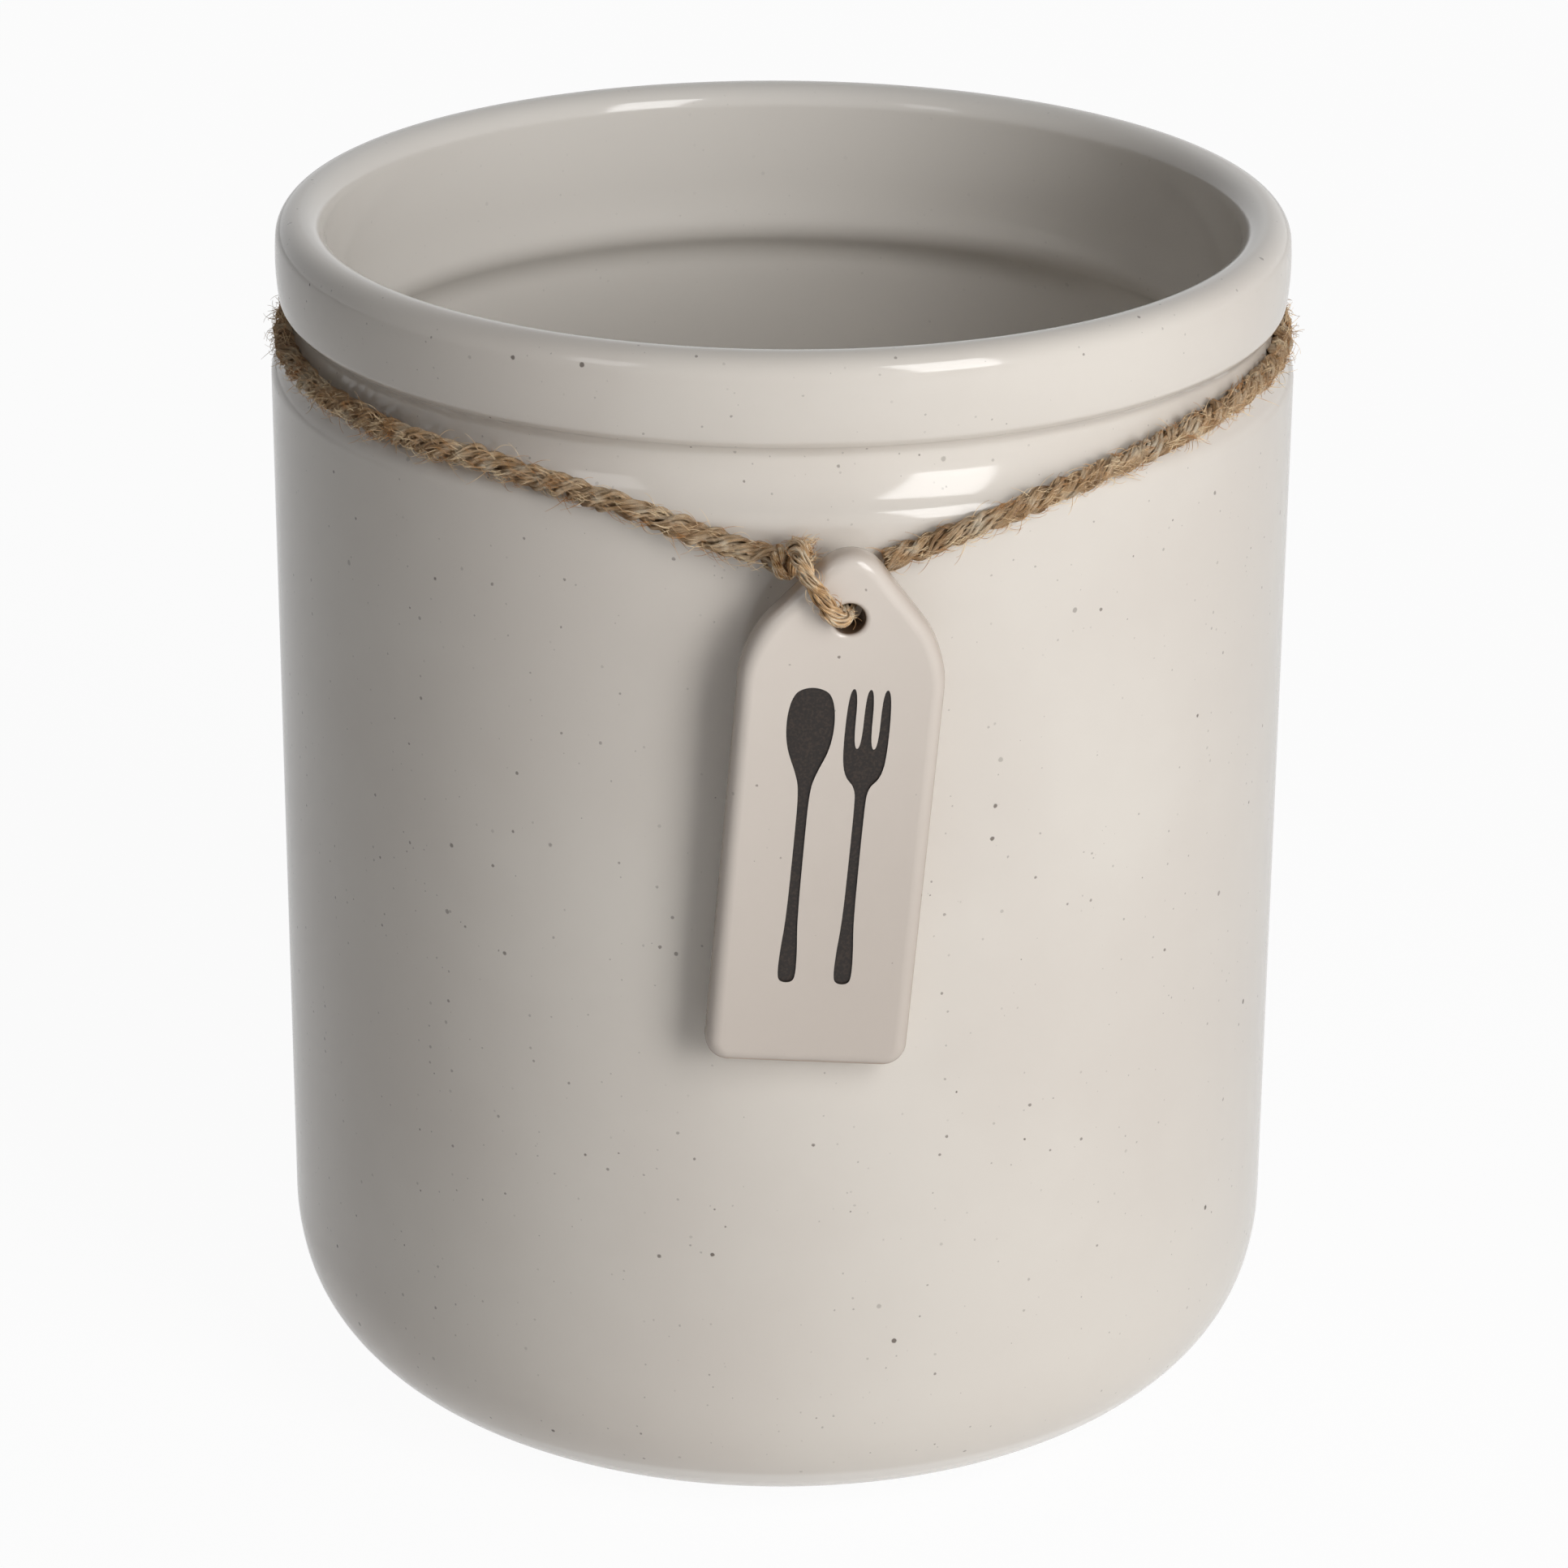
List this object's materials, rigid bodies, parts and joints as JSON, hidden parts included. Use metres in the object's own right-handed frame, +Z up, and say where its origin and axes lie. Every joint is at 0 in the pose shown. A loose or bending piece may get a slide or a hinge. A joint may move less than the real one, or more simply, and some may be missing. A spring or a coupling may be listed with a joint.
{
  "type": "utensil crock",
  "caption": "Round stoneware crock with a grooved neck and a rounded rim band, holding kitchen utensils, with a gabled hang tag on twine.",
  "frame": {"origin": "on the crock's axis, in the plane of its foot ring", "axes": "+Z up along the crock's axis; the tag hangs at the front, towards -Y; +X to the right as seen from the front"},
  "size_m": [0.1435, 0.1547, 0.1725],
  "materials": {
    "crock_glaze": "warm off-white glaze with small dark specks, gloss",
    "tag_glaze": "the crock's glaze, gloss",
    "twine": "natural jute, three plies"
  },
  "bodies": {
    "crock": {"crock": "crock_glaze"},
    "neck_twine": {"neck_twine": "twine"},
    "loop": {"tag_loop": "twine", "twine_knot": "twine"},
    "tag": {"tag": "tag_glaze"}
  },
  "joints": [
    {"name": "twine_turn", "type": "hinge", "parent": "crock", "child": "neck_twine", "pos_m": [0, 0, 0.156], "axis": [0, 0, 1], "continuous": true},
    {"name": "tag_lift", "type": "hinge", "parent": "neck_twine", "child": "loop", "pos_m": [0.00135, -0.07409, 0.14758], "axis": [-0.9657, -0.1752, 0.1919], "range_deg": [0, 55]},
    {"name": "tag_swing", "type": "hinge", "parent": "loop", "child": "tag", "pos_m": [0.00831, -0.07436, 0.14086], "axis": [0.0871, -0.9951, -0.0479], "range_deg": [-12, 12]}
  ]
}
